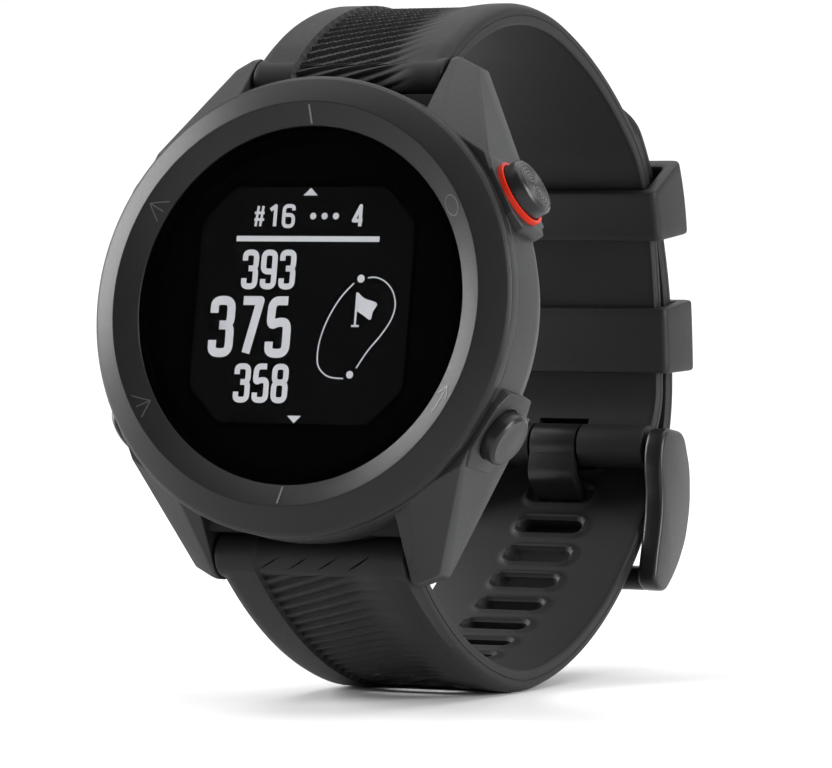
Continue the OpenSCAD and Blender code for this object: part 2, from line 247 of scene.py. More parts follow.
def grained(name, colour, rough, grain, depth, mottle=0.15, rough_spread=0.06, metallic=0.0,
            specular=0.5):
    """A moulded or coated surface: fine grain in the bump, and cloudy colour and gloss."""
    mat, nodes, links, bsdf = principled(name)
    bsdf.inputs["Metallic"].default_value = metallic
    bsdf.inputs["Specular IOR Level"].default_value = specular
    coord = nodes.new("ShaderNodeTexCoord")
    fine = nodes.new("ShaderNodeTexNoise")
    fine.inputs["Scale"].default_value = grain
    fine.inputs["Detail"].default_value = 3
    cloud = nodes.new("ShaderNodeTexNoise")
    cloud.inputs["Scale"].default_value = 160
    cloud.inputs["Detail"].default_value = 4
    links.new(coord.outputs["Object"], fine.inputs["Vector"])
    links.new(coord.outputs["Object"], cloud.inputs["Vector"])
    ramp = nodes.new("ShaderNodeValToRGB")
    low = [c * (1 - mottle) for c in colour]
    high = [min(1, c * (1 + mottle)) for c in colour]
    ramp.color_ramp.elements[0].position = 0.3
    ramp.color_ramp.elements[1].position = 0.7
    ramp.color_ramp.elements[0].color = (*low, 1)
    ramp.color_ramp.elements[1].color = (*high, 1)
    links.new(cloud.outputs["Fac"], ramp.inputs["Fac"])
    links.new(ramp.outputs["Color"], bsdf.inputs["Base Color"])
    span = nodes.new("ShaderNodeMapRange")
    span.inputs["To Min"].default_value = rough - rough_spread
    span.inputs["To Max"].default_value = rough + rough_spread
    links.new(fine.outputs["Fac"], span.inputs["Value"])
    links.new(span.outputs["Result"], bsdf.inputs["Roughness"])
    if not depth:
        return mat
    bump = nodes.new("ShaderNodeBump")
    bump.inputs["Strength"].default_value = 0.6
    bump.inputs["Distance"].default_value = depth * MM
    links.new(fine.outputs["Fac"], bump.inputs["Height"])
    links.new(bump.outputs["Normal"], bsdf.inputs["Normal"])
    return mat


def glass_material():
    mat, _, _, bsdf = principled("lens_glass")
    bsdf.inputs["Base Color"].default_value = (0.97, 0.98, 1.0, 1)
    bsdf.inputs["Transmission Weight"].default_value = 1.0
    bsdf.inputs["IOR"].default_value = 1.08
    bsdf.inputs["Roughness"].default_value = 0.0
    return mat


def painted_glow(name, colour, strength, grain=900):
    """Display figures lit by painted light: their emission stands in for the lamp light that the reflective
    display gives back through the glass, uneven as its dots are.
    """
    mat, nodes, links, bsdf = principled(name)
    noise = nodes.new("ShaderNodeTexNoise")
    noise.inputs["Scale"].default_value = grain
    coord = nodes.new("ShaderNodeTexCoord")
    ramp = nodes.new("ShaderNodeValToRGB")
    ramp.color_ramp.elements[0].color = (*[c * 0.93 for c in colour], 1)
    ramp.color_ramp.elements[1].color = (*colour, 1)
    links.new(coord.outputs["Object"], noise.inputs["Vector"])
    links.new(noise.outputs["Fac"], ramp.inputs["Fac"])
    links.new(ramp.outputs["Color"], bsdf.inputs["Base Color"])
    links.new(ramp.outputs["Color"], bsdf.inputs["Emission Color"])
    bsdf.inputs["Emission Strength"].default_value = strength
    bsdf.inputs["Roughness"].default_value = 0.6
    return mat


SILICONE = grained("band_silicone", (0.0095, 0.0095, 0.01), 0.55, 2600, 0.03, 0.1, specular=0.22)
KEEPER_SILICONE = grained("keeper_silicone", (0.0105, 0.0105, 0.011), 0.5, 2600, 0.03, 0.1, specular=0.24)
CASE_POLYMER = grained("case_polymer", (0.013, 0.0135, 0.014), 0.46, 3400, 0.03, specular=0.3)
BEZEL_POLYMER = grained("bezel_polymer", (0.009, 0.0092, 0.0096), 0.42, 4200, 0.02, 0.1, specular=0.26)
BUTTON_COAT = grained("button_coat", (0.008, 0.008, 0.0085), 0.34, 3000, 0.02, specular=0.35)
BUCKLE_COAT = grained("buckle_coat", (0.008, 0.008, 0.0085), 0.34, 2400, 0.02, specular=0.35)
COVER_POLYMER = grained("cover_polymer", (0.022, 0.023, 0.025), 0.45, 3000, 0.03)
ACCENT = grained("accent", (0.55, 0.022, 0.006), 0.45, 2500, 0.02, 0.08, specular=0.2)
MARK = grained("mark_paint", (0.11, 0.113, 0.12), 0.45, 2500, 0.02, 0.1)
ENGRAVED = grained("engraved_line", (0.05, 0.052, 0.055), 0.4, 2500, 0.02, 0.1)
STEEL = grained("steel", (0.42, 0.42, 0.43), 0.3, 3000, 0.01, 0.06, metallic=1.0)
BAR_COAT = grained("bar_coat", (0.05, 0.05, 0.052), 0.35, 3000, 0.01, 0.08, metallic=0.8)
GOLD = grained("gold", (0.75, 0.5, 0.16), 0.25, 3000, 0.01, 0.06, metallic=1.0)
SEAL = grained("seal_rubber", (0.06, 0.02, 0.016), 0.6, 2000, 0.03)
RUBBER = grained("black_rubber", (0.02, 0.02, 0.02), 0.6, 2000, 0.03)
BOARD = grained("board", (0.012, 0.09, 0.035), 0.4, 1800, 0.03)
FLEX = grained("flex_film", (0.35, 0.14, 0.03), 0.35, 1800, 0.01)
SHIELD = grained("shield_metal", (0.45, 0.46, 0.47), 0.35, 2600, 0.01, 0.06, metallic=1.0)
CERAMIC = grained("ceramic", (0.55, 0.5, 0.4), 0.5, 2600, 0.02)
CELL = grained("cell_wrap", (0.25, 0.27, 0.3), 0.35, 2600, 0.01)
FOAM = grained("foam", (0.03, 0.03, 0.03), 0.8, 1600, 0.08)
CHASSIS = grained("chassis_polymer", (0.05, 0.052, 0.056), 0.5, 2600, 0.02)
INK = grained("black_ink", (0.0014, 0.0014, 0.0015), 0.7, 2600, 0, 0.05, specular=0.0)
PANEL = grained("display_panel", (0.0058, 0.0058, 0.006), 0.7, 2600, 0, 0.05, specular=0.0)
PANEL_EDGE = grained("display_edge", (0.0001, 0.0001, 0.0001), 0.7, 2600, 0, 0.05, specular=0.0)
# The display's figures glow with painted light, an emission in place of lamp light reaching them through the
# glass.
UI = painted_glow("display_grey", (0.45, 0.45, 0.46), 0.6)


def repaint():
    """CAD nodes that stay get their finished materials."""
    paints = {
        SHIELD: ["board_shield", "button_switches"], BOARD: ["main_board"], FLEX: ["display_flex"],
        CERAMIC: ["gps_antenna"], CELL: ["battery"], FOAM: ["battery_pad"], SEAL: ["back_gasket"],
        COVER_POLYMER: ["back_cover"], STEEL: ["back_screws", "up_clip", "down_clip", "ok_clip",
        "back_clip", "top_bar_spring", "bottom_bar_spring", "top_release_pin",
        "bottom_release_pin", "top_spring_bar", "bottom_spring_bar"], GOLD: ["charging_contacts"],
        BAR_COAT: ["buckle_bar"], RUBBER: ["button_seals"], INK: ["lens_gasket"],
        CHASSIS: ["chassis_frame"], PANEL: ["display_module"], ACCENT: ["ok_accent_ring"],
        MARK: ["bezel_marks"], glass_material(): ["lens"],
    }
    for material, nodes in paints.items():
        for node in nodes:
            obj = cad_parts[node]
            for s in obj.material_slots:
                s.material = material


# ------------------------------------------------------------------ case
CAVITY_R, WINDOW_R, OPENING_R, COVER_R, SCREW_R = 18.4, 15.5, 15.6, 18.65, 17.6
COVER_Y, FLANGE_Y = -1.2, -2.6
LUG_GAP = 10.3
# A lug as (point, outward normal) of each of its faces, at 12 o'clock on the +X side
LUG_PLANES = [((LUG_GAP, 0, 0), (-1, 0, 0)), ((12.95, 0, 24.1), (1.3, 0, 2.65)),
              ((12.95, 0, 24.1), (11.8, 0, 5.5)), ((0, 0, 9), (0, 0, -1)),
              ((0, SEAM_Y, 0), (0, -1, 0)), ((0, 0, 0), (0, 1, 0)),
              ((0, -3.1, 24.75), (0, -7.15, 5.6)), ((0, -2.2, 25.2), (0, -0.45, 0.9)),
              ((0, -0.8, 25.1), (0, 0.1, 1.4)), ((0, -0.8, 25.1), (0, 0.9, 0.8)),
              ((LUG_GAP + 0.3, -3.1, 24.75), (0.378, -0.678, 0.63))]


def carved(planes, low, high):
    """What is left of a box once each plane has taken off all that lies beyond it."""
    bm = bmesh.new()
    bmesh.ops.create_cube(bm, size=1)
    for v in bm.verts:
        v.co = [low[i] + (v.co[i] + 0.5) * (high[i] - low[i]) for i in range(3)]
    for point, normal in planes:
        cut = bmesh.ops.bisect_plane(bm, geom=bm.verts[:] + bm.edges[:] + bm.faces[:], plane_co=point,
                                     plane_no=normal, clear_outer=True)
        edges = [e for e in cut["geom_cut"] if isinstance(e, bmesh.types.BMEdge)]
        if edges:
            bmesh.ops.edgeloop_fill(bm, edges=edges)
    bm.verts.index_update()
    verts = [tuple(v.co) for v in bm.verts]
    faces = [tuple(v.index for v in f.verts) for f in bm.faces]
    bm.free()
    return verts, faces


def make_lug(sx, sz):
    verts, faces = carved(LUG_PLANES, (9, -12, 8), (24, 2, 28))
    obj = new_object("lug", [(sx * x, y, sz * z) for x, y, z in verts], faces)
    bevel(obj, 0.16, 3, 10)
    return obj


def axis_at(a):
    t = math.radians(a)
    return np.array([math.cos(t), 0, math.sin(t)])


def rod(a, r, r0, r1, n=64):
    """A rod along the axis of the button at angle a."""
    return turned([(0, r0), (r, r0), (r, r1), (0, r1)], (0, BUTTON_Y, 0), axis_at(a), n)


def make_guard(a, top):
    """The eight-sided guard round a button."""
    out, side = axis_at(a), axis_at(a + 90)
    outline = [(-3.3, -2.3), (-2.3, -4), (2.3, -4), (3.3, -2.3), (3.3, 2.3), (2.3, 4), (-2.3, 4), (-3.3, 2.3)]
    rings = [[np.array([0, BUTTON_Y + y, 0]) + r * out + t * side for y, t in outline]
             for r in (CAVITY_R, CASE_R + top)]
    obj = new_object("guard", *grid(rings, closed=False))
    bevel(obj, 0.2, 3, 30)
    return obj


def y_rod(x, z, r, y0, y1, n=32):
    return turned([(0, y0), (r, y0), (r, y1), (0, y1)], (x, 0, z), (0, 1, 0), n)


GUARDS = ((BUTTON_ANGLE, OK_GUARD), (-BUTTON_ANGLE, OK_GUARD), (180 - BUTTON_ANGLE, GUARD),
          (180 + BUTTON_ANGLE, GUARD))
WEB_SPANS = ((-20.9, -15), (15, 20.9))
WEB_FRONT, WEB_BACK = -5.5, -0.7
POST_R, SCREW_HOLE_R = 1.3, 0.5
STEM_HOLE_R = 0.95
CORNER = math.sqrt(0.5) * SCREW_R


def case_outside():
    """The round housing with its lugs, guards and the webs between the lugs."""
    outside = [(0, SEAM_Y), (CASE_R - 0.12, SEAM_Y), (CASE_R, SEAM_Y + 0.14), (CASE_R, WAIST_Y - 0.3),
               (CASE_R - 0.1, WAIST_Y + 0.3), (20.65, -1.1), (20.5, -0.75), (19.85, -0.1), (19.6, 0), (0, 0)]
    obj = new_object("case_shell", *turned(outside, n=288))
    for sx in (-1, 1):
        for sz in (-1, 1):
            boolean(obj, make_lug(sx, sz), "UNION")
    for a, top in GUARDS:
        boolean(obj, make_guard(a, top), "UNION")
    x = LUG_GAP + 0.5
    for z0, z1 in WEB_SPANS:
        web = slab([(-x, z0), (x, z0), (x, z1), (-x, z1)], WEB_FRONT, WEB_BACK)
        boolean(obj, new_object("web", *web), "UNION")
    return obj


def hollow_case(obj):
    """Cuts the cavity, then adds the screw posts and cuts their holes."""
    inside = [(0, SEAM_Y - 1), (WINDOW_R, SEAM_Y - 1), (WINDOW_R, SEAM_Y + 0.8), (CAVITY_R, SEAM_Y + 0.8),
              (CAVITY_R, FLANGE_Y), (OPENING_R, FLANGE_Y), (OPENING_R, COVER_Y), (COVER_R, COVER_Y),
              (COVER_R, 1), (0, 1)]
    boolean(obj, new_object("inside", *turned(inside, n=192)), "DIFFERENCE")
    corners = [(x, z) for x in (-CORNER, CORNER) for z in (-CORNER, CORNER)]
    posts = [y_rod(x, z, POST_R, -4.4, COVER_Y - 0.1) for x, z in corners]
    boolean(obj, new_object("posts", *joined(posts)), "UNION")
    holes = [y_rod(x, z, SCREW_HOLE_R, -3.6, 1) for x, z in corners]
    rooms = [cylinder_x((PIN[0], z), END_R + 0.4, -LUG_GAP, LUG_GAP) for z in (-PIN[1], PIN[1])]
    boolean(obj, new_object("cuts", *joined(holes + rooms)), "DIFFERENCE")
    tips = [cylinder_x((PIN[0], z), 0.5, -LUG_GAP - 2, LUG_GAP + 2, 24) for z in (-PIN[1], PIN[1])]
    boolean(obj, new_object("tips", *joined(tips)), "DIFFERENCE")


def make_case():
    obj = case_outside()
    hollow_case(obj)
    pockets = [rod(a, (OK_CAP_R if a == BUTTON_ANGLE else CAP_R) + 0.1, CASE_R - 0.7, CASE_R + 2)
               for a, _ in GUARDS]
    boolean(obj, new_object("pockets", *joined(pockets)), "DIFFERENCE")
    bores = [rod(a, STEM_HOLE_R, CAVITY_R - 1, CASE_R + 2, 32) for a, _ in GUARDS]
    boolean(obj, new_object("bores", *joined(bores)), "DIFFERENCE")
    shade(obj, 28)
    keep(obj, "case", CASE_POLYMER, "case_body", slot="case_polymer")


# ------------------------------------------------------------------ bezel and display
def make_bezel():
    profile = [(LENS_R + 0.05, SEAM_Y), (LENS_R + 0.05, LENS_Y - 0.05), (RIDGE_R, RIDGE_Y),
               (CASE_R - 0.35, LENS_Y + 0.1), (CASE_R, LENS_Y + 0.45), (CASE_R, SEAM_Y)]
    obj = new_object("bezel", *turned(soften(profile, 0.09, k=3), n=288))
    shade(obj, 50)
    keep(obj, "case", BEZEL_POLYMER, "bezel_ring", slot="bezel_polymer")


def on_slope(a, r, h=0.0):
    """A point on the bezel's inner slope at angle a and radius r, h above it."""
    slope = math.atan2(RIDGE_Y - LENS_Y + 0.05, RIDGE_R - LENS_R - 0.05)
    y = LENS_Y - 0.05 + (r - LENS_R - 0.05) * math.tan(slope)
    rr, y = r + h * math.sin(slope), y - h * math.cos(slope)
    t = math.radians(a)
    return np.array([rr * math.cos(t), y, rr * math.sin(t)])


def slope_stroke(points, width=0.11, h=0.035):
    """A thin raised line on the slope through (angle, radius) points."""
    parts = []
    for (a0, r0), (a1, r1) in zip(points, points[1:]):
        n = max(2, int(abs(a1 - a0) / 1.5) + 2)
        rings = []
        for t in np.linspace(0, 1, n):
            a, r = a0 + (a1 - a0) * t, r0 + (r1 - r0) * t
            da, dr = math.radians(a1 - a0) * r, r1 - r0
            length = math.hypot(da, dr)
            sa, sr = -dr / length, da / length
            w = width / 2
            da2, dr2 = math.degrees(sa * w / r), sr * w
            rings.append([on_slope(a - da2, r - dr2, -0.05), on_slope(a + da2, r + dr2, -0.05),
                          on_slope(a + da2, r + dr2, h), on_slope(a - da2, r - dr2, h)])
        parts.append(grid(rings, closed=False))
    return joined(parts)


def make_bezel_symbols():
    """Plain key symbols on the slope: up and down arrows, a ring and a back arrow."""
    inner, outer, mid = 17.45, 18.75, 18.1
    up = [slope_stroke([(146, inner), (149.7, outer), (153.4, inner)]),
          slope_stroke([(149.7, inner), (149.7, outer)])]
    down = [slope_stroke([(-151.4, outer), (-147.7, inner), (-144, outer)]),
            slope_stroke([(-147.7, inner), (-147.7, outer)])]
    ring = [(31 + 3.2 * math.cos(t), mid + 0.72 * math.sin(t)) for t in np.linspace(0, 2 * math.pi, 25)]
    ok = [slope_stroke(ring)]
    back = [slope_stroke([(-28, outer), (-24.5, mid), (-28, inner)]),
            slope_stroke([(-24.5, mid), (-33.5, mid)])]
    obj = new_object("bezel_symbols", *joined(up + down + ok + back))
    keep(obj, "case", ENGRAVED, slot="mark_paint")


MASK_Y = SEAM_Y - 0.13
PANEL_Y = SEAM_Y - 0.06
INK_Y = SEAM_Y - 0.08


def octagon(half_w, half_h, cut, cx=-0.4, cz=0.2):
    w, h = half_w, half_h
    p = [(-w + cut, h), (w - cut, h), (w, h - cut), (w, -h + cut), (w - cut, -h), (-w + cut, -h),
         (-w, -h + cut), (-w, h - cut)]
    return soften([(cx + x, cz + z) for x, z in p], 0.6, k=4)


def make_display():
    disc = [((LENS_R - 0.15) * math.cos(t), (LENS_R - 0.15) * math.sin(t))
            for t in np.linspace(0, 2 * math.pi, 128, endpoint=False)]
    mask = new_object("dial_mask", *slab(disc, PANEL_Y + 0.05, PANEL_Y + 0.03))
    keep(mask, "case", INK, slot="display")
    r0, r1, y0, y1 = LENS_R - 0.08, LENS_R - 0.01, LENS_Y + 0.03, MASK_Y
    liner = turned([(r0, y0), (r1, y0), (r1, y1), (r0, y1)], n=160)
    keep(new_object("lens_liner", *liner), "case", INK, slot="display")
    edge = new_object("display_edge", *slab(octagon(11.6, 11.6, 3.5), PANEL_Y + 0.025, PANEL_Y + 0.015))
    keep(edge, "case", PANEL_EDGE, slot="display")
    panel = new_object("display_panel", *slab(octagon(11.25, 11.25, 3.35), PANEL_Y + 0.01, PANEL_Y))
    keep(panel, "case", PANEL, slot="display")


def ribbon(points, width, closed=False):
    """A flat line of even width through X-Z points, as a thin slab."""
    p = [np.asarray(q, float) for q in points]
    n = len(p)
    rings = []
    for i in range(n):
        a = p[i - 1] if closed or i > 0 else p[i]
        b = p[(i + 1) % n] if closed or i < n - 1 else p[i]
        d = (b - a) / np.linalg.norm(b - a)
        s = np.array([-d[1], d[0]]) * width / 2
        q, r = p[i] + s, p[i] - s
        rings.append([(q[0], INK_Y, q[1]), (r[0], INK_Y, r[1]),
                      (r[0], INK_Y - 0.01, r[1]), (q[0], INK_Y - 0.01, q[1])])
    return grid(rings, closed=closed)


def curve_through(points, k=10):
    """A smooth line through the points."""
    p = [np.asarray(q, float) for q in points]
    out = []
    for i in range(len(p) - 1):
        a, b, c, d = p[max(i - 1, 0)], p[i], p[i + 1], p[min(i + 2, len(p) - 1)]
        for t in np.linspace(0, 1, k, endpoint=False):
            out.append(0.5 * (2 * b + (c - a) * t + (2 * a - 5 * b + 4 * c - d) * t * t
                              + (3 * b - a - 3 * c + d) * t ** 3))
    return out + [p[-1]]


def dot(c, r):
    return slab([(c[0] + r * math.cos(t), c[1] + r * math.sin(t))
                 for t in np.linspace(0, 2 * math.pi, 32, endpoint=False)], INK_Y, INK_Y - 0.01)


def flat(points):
    return slab(points, INK_Y, INK_Y - 0.01)


def make_hole_map():
    """The green's outline with its front and back points and the flag."""
    left = curve_through([(4.96, 2.3), (3.65, 0.87), (2.5, -1.13), (1.82, -3.25), (1.75, -5.1),
                          (2.25, -6.05), (3.2, -6.6), (4.6, -6.72)])
    right = curve_through([(5.87, -5.73), (6.9, -4.13), (8.22, -2.53), (9.12, -1.1), (9.43, 0.25),
                           (9.05, 1.55), (8.2, 2.45), (7.2, 2.85), (6.37, 2.8)])
    flag = curve_through([(5.5, 1.4), (6.2, 0.85), (7.5, 0.4), (7.15, -0.4), (6.95, -1.15), (6.2, -0.75),
                          (5.5, -0.35)], 6)
    parts = [ribbon(left, 0.13), ribbon(right, 0.13), dot((5.65, 2.72), 0.38), dot((5.25, -6.35), 0.36),
             flat(flag), flat([(5.28, 1.4), (5.5, 1.4), (5.48, -1.65), (5.28, -1.65)]),
             flat([(5.0, -1.65), (5.8, -1.65), (5.8, -1.85), (5.0, -1.85)])]
    obj = new_object("hole_map", *joined(parts))
    keep(obj, "case", UI, slot="display")


def make_marks():
    parts = [flat([(-7.85, 6.76), (7.25, 6.72), (7.25, 6.2), (-7.85, 6.24)]),
             flat([(-1.1, 10.62), (0.4, 10.62), (-0.35, 11.35)]),
             flat([(-0.95, -10.3), (0.5, -10.3), (-0.22, -11.0)])]
    obj = new_object("display_marks", *joined(parts))
    keep(obj, "case", UI, slot="display")


# Strokes of each character in a unit box, as (points, whether the line closes)
STROKES = {
    "1": [([(0.1, 0.8), (0.62, 1), (0.62, 0)], False)],
    "3": [([(0, 0.76), (0, 1), (1, 1), (1, 0.53), (0.35, 0.53)], False),
          ([(0.35, 0.53), (1, 0.53), (1, 0), (0, 0), (0, 0.24)], False)],
    "4": [([(0.78, 0), (0.78, 1), (0, 0.28), (1.05, 0.28)], False)],
    "5": [([(0.95, 1), (0.05, 1), (0, 0.52), (0.5, 0.6), (1, 0.58), (1, 0), (0, 0), (0, 0.22)], False)],
    "6": [([(0.98, 0.78), (0.98, 1), (0, 1), (0, 0), (1, 0), (1, 0.56), (0.02, 0.56)], False)],
    "7": [([(0, 1), (1, 1), (0.35, 0)], False)],
    "8": [([(0, 0.53), (0, 1), (1, 1), (1, 0.53)], True), ([(0, 0.53), (1, 0.53), (1, 0), (0, 0)], True)],
    "9": [([(0.98, 0.44), (0, 0.44), (0, 1), (1, 1), (1, 0), (0.02, 0), (0.02, 0.22)], False)],
    "#": [([(0.36, 1), (0.16, 0)], False), ([(0.84, 1), (0.64, 0)], False),
          ([(0, 0.66), (1, 0.66)], False), ([(0, 0.33), (1, 0.33)], False)],
}


def make_number(name, text, x0, x1, z0, z1, weight):
    """Condensed digits with strokes of the given weight, in the box x0..x1, z0..z1."""
    pitch = (x1 - x0 + 0.45 * weight) / len(text)
    wide, tall = pitch - 1.45 * weight, z1 - z0 - weight
    parts = []
    for k, char in enumerate(text):
        left, low = x0 + weight / 2 + k * pitch, z0 + weight / 2
        for points, closed in STROKES[char]:
            line = [(left + u * wide, low + v * tall) for u, v in points]
            sharp = char in "147#"
            line = soften(line, 0.01 if sharp else 0.45 * wide, closed, 6)
            parts.append(ribbon(line, weight * (0.7 if char == "#" else 1), closed))
    obj = new_object(name, *joined(parts))
    keep(obj, "case", UI, slot="display")


def make_numbers():
    make_number("hole_number", "#16", -6.3, -1.8, 7.5, 9.8, 0.36)
    make_number("hole_par", "4", 4.2, 5.45, 7.5, 9.8, 0.36)
    make_number("distance_back", "393", -7.0, -1.3, 1.65, 5.45, 0.56)
    make_number("distance_middle", "375", -10.0, -1.3, -4.85, 1.0, 0.85)
    make_number("distance_front", "358", -6.9, -1.15, -9.15, -5.4, 0.56)
    obj = new_object("hole_dash", *joined([dot((x, 8.65), 0.32) for x in (0.1, 1.3, 2.5)]))
    keep(obj, "case", UI, slot="display")


# ------------------------------------------------------------------ buttons
def make_button(name, a, top, body, r=CAP_R, rings=False):
    """A cap on its stem; top is how far the cap stands out from the dial axis."""
    face = [(0, top), (r * 0.4, top - 0.02), (r * 0.7, top - 0.07)]
    if rings:
        face = [(0, top - 0.1)]
        for k in range(6):
            q = 0.25 + k * 0.36
            face += [(q, top - 0.1), (q + 0.08, top), (q + 0.22, top), (q + 0.3, top - 0.1)]
    side = soften([(r - 0.32, top - 0.05), (r, top - 0.3), (r, CASE_R + 0.15), (0.9, CASE_R)],
                  0.2, closed=False, k=4)
    profile = face + [tuple(p) for p in side] + [(0.9, 16.65), (0, 16.65)]
    obj = new_object(name, *turned(profile, (0, BUTTON_Y, 0), axis_at(a), n=96))
    shade(obj, 40)
    keep(obj, body, BUTTON_COAT, name, slot="button_knurled" if rings else "button_coat")
    obj.name = name + "_cap"


def make_buttons():
    make_button("up_button", 180 - BUTTON_ANGLE, 23.2, "key_up")
    make_button("down_button", 180 + BUTTON_ANGLE, 23.2, "key_down")
    make_button("ok_button", BUTTON_ANGLE, 24.5, "key_ok", OK_CAP_R, rings=True)
    make_button("back_button", -BUTTON_ANGLE, 24.0, "key_back")


# ------------------------------------------------------------------ band
def path(p, phi, spec, turn):
    """Tangent arcs as [centre, wrist-side radius, start angle, sweep]."""
    arcs, p = [], np.array(p, float)
    for r, bend in spec:
        sweep, f = turn * bend, math.radians(phi)
        c = p + turn * r * np.array([-math.sin(f), math.cos(f)])
        a = phi - turn * 90
        arcs.append([c, r, a, sweep])
        p, phi = polar(c, r, a + sweep), phi + sweep
    return arcs


def heading(v):
    return math.degrees(math.atan2(v[1], v[0]))


def meet(a, ra, b, rb):
    d = np.linalg.norm(b - a)
    x = (d * d + ra * ra - rb * rb) / (2 * d)
    h, e = math.sqrt(ra * ra - x * x), (b - a) / d
    return a + x * e + h * np.array([-e[1], e[0]])


def reach(arc):
    return arc[1] * abs(math.radians(arc[3]))


UPPER = path((-2.1, 23.1), 47, [(27.2, 56.5), (49.2, 22.4), (15, 34.2), (73.3, 13.6), (6, 58)], -1)
LOWER = path((-1.3, -22.05), -40.4, [(36.3, 37.4), (21.4, 19.9), (39, 24)], 1)
BEND_R = 17


def slotted_arcs():
    last, back, corner, top = LOWER[2], UPPER[3], UPPER[2], UPPER[1]
    c = meet(last[0], last[1] - BEND_R, back[0], back[1] + TAIL_OFF - BEND_R)
    a0, a1 = heading(c - last[0]), heading(c - back[0])
    return [LOWER[0], LOWER[1], [last[0], last[1], last[2], a0 - last[2]],
            [c, BEND_R, a0, a1 - a0], [back[0], back[1] + TAIL_OFF, a1, back[2] - a1],
            [corner[0], corner[1] + TAIL_OFF, corner[2] + corner[3], -corner[3]],
            [top[0], top[1] + TAIL_OFF, corner[2], 5]]


SLOTTED = slotted_arcs()
TANG_S = reach(LOWER[0]) + reach(LOWER[1]) + LOWER[2][1] * math.radians(TANG_SLOT_ANGLE - LOWER[2][2])
SLOTS = [TANG_S + i * SLOT_PITCH for i in range(-10, 7)]


def at(arcs, s):
    """(wrist-side point, outward direction) at distance s along the arcs."""
    for i, arc in enumerate(arcs):
        if s <= reach(arc) or i == len(arcs) - 1:
            a = arc[2] + math.degrees(s / arc[1]) * math.copysign(1, arc[3])
            t = math.radians(a)
            return polar(arc[0], arc[1], a), np.array([math.cos(t), math.sin(t)])
        s -= reach(arc)


RIB_LEFT, RIB_RIGHT = -5.8, 7.3
RIB_PITCH, RIB_SLOPE = 1.3, 0.37


RIB_DEPTH, PANEL_DEPTH = 0.42, 0.3
RIBS_END = 30.0


def ribs(x, s, slant, end, groove=RIB_DEPTH):
    """How far the outer face is let in by the ribbed panel at x and s."""
    panel = smoothstep((x - RIB_LEFT) / 0.25) * smoothstep((end - s) / 6.0)
    right = smoothstep((RIB_RIGHT - x) / 5.5)
    phase = ((s + slant * RIB_SLOPE * (x - RIB_LEFT)) / RIB_PITCH) % 1.0
    tooth = np.where(phase < 0.22, phase / 0.22, (1 - phase) / 0.78)
    step = PANEL_DEPTH * panel * smoothstep((RIB_RIGHT + 0.4 - x) / 4.0)
    return step + groove * panel * right * (1 - tooth) ** 1.3


def to_slots(x, s):
    """Distance from the nearest slot's edge, negative inside it."""
    nearest = TANG_S + np.round((s - TANG_S) / SLOT_PITCH) * SLOT_PITCH
    nearest = np.clip(nearest, SLOTS[0], SLOTS[-1])
    dx = np.maximum(np.abs(x) - (SLOT_L - SLOT_W) / 2, 0)
    return np.hypot(dx, s - nearest) - SLOT_W / 2


# The long half starts thicker, to meet the round end evenly
FLUSH, FLUSH_END = 1.14, 20


def outer_lower(x, s, w):
    flush = FLUSH * max(0.0, 1 - s / FLUSH_END) ** 2
    off = BAND_T + flush - ribs(x, s, 1, RIBS_END)
    off = off - 0.12 * smoothstep(1 - to_slots(x, s) / 0.5)
    return off - 0.4 * smoothstep((np.abs(x) - (w - 1.6)) / 1.6) ** 2


def inner_lower(x, s):
    d = to_slots(x, s)
    return -0.26 * np.exp(-((d - 0.42) / 0.3) ** 2) + 0.15 * smoothstep(1 - d / 0.25)


def outer_upper(x, s, w):
    off = BAND_T - 0.15 + 0.15 * float(smoothstep(s / 3)) - ribs(x, s, -1, RIBS_END)
    return off - 0.4 * smoothstep((np.abs(x) - (w - 1.6)) / 1.6) ** 2


def inner_plain(x, s):
    return np.zeros_like(x)


def even_w(s):
    return HALF_W


def tail_w(s):
    """Half width near the tail's rounded tip."""
    left = TAIL_END - s
    w = HALF_W - 0.75 * float(smoothstep((26 - left) / 18))
    r = 7.0
    if left < r:
        w *= math.sqrt(max(1e-4, 1 - ((r - left) / r) ** 2.2)) * 0.985 + 0.015
    return w


TAIL_END = sum(reach(a) for a in SLOTTED)


def band_ring(arcs, s, w, outer, inner):
    p, n = at(arcs, s)
    across = np.linspace(-1, 1, 67)
    k = w / HALF_W
    xi = across * (w - 0.4)
    lo = inner(xi, s)
    xo = across[::-1] * (w - 0.35)
    hi = outer(xo, s, w)
    ring = [(x, o) for x, o in zip(xi, lo)]
    ring += [(w - 0.12, 0.06), (w, 0.25), (w, 0.9), (w - 0.08 * k, 0.96), (w - 0.08 * k, 1.04),
             (w, 1.1), (w, 1.5), (w - 0.1, 1.68)]
    ring += [(x, o) for x, o in zip(xo, hi)]
    ring += [(-w + 0.1, 1.68), (-w, 1.5), (-w, 1.1), (-w + 0.08 * k, 1.04), (-w + 0.08 * k, 0.96),
             (-w, 0.9), (-w, 0.25), (-w + 0.12, 0.06)]
    return [(x, p[0] + o * n[0], p[1] + o * n[1]) for x, o in ring]


def band_mesh(name, arcs, stops, width, outer, inner):
    rings = [band_ring(arcs, s, width(s), outer, inner) for s in stops]
    return new_object(name, *grid(rings, closed=False))


def spaced(*spans):
    """Distances along the band: (from, to, step) spans."""
    out = []
    for a, b, step in spans:
        out += list(np.linspace(a, b, max(1, round((b - a) / step)), endpoint=False))
    return out + [spans[-1][1]]


def cylinder_x(at_yz, r, x0, x1, n=64):
    return grid([[(x, at_yz[0] + r * math.cos(t), at_yz[1] + r * math.sin(t))
                  for t in np.linspace(0, 2 * math.pi, n, endpoint=False)] for x in (x0, x1)], closed=False)


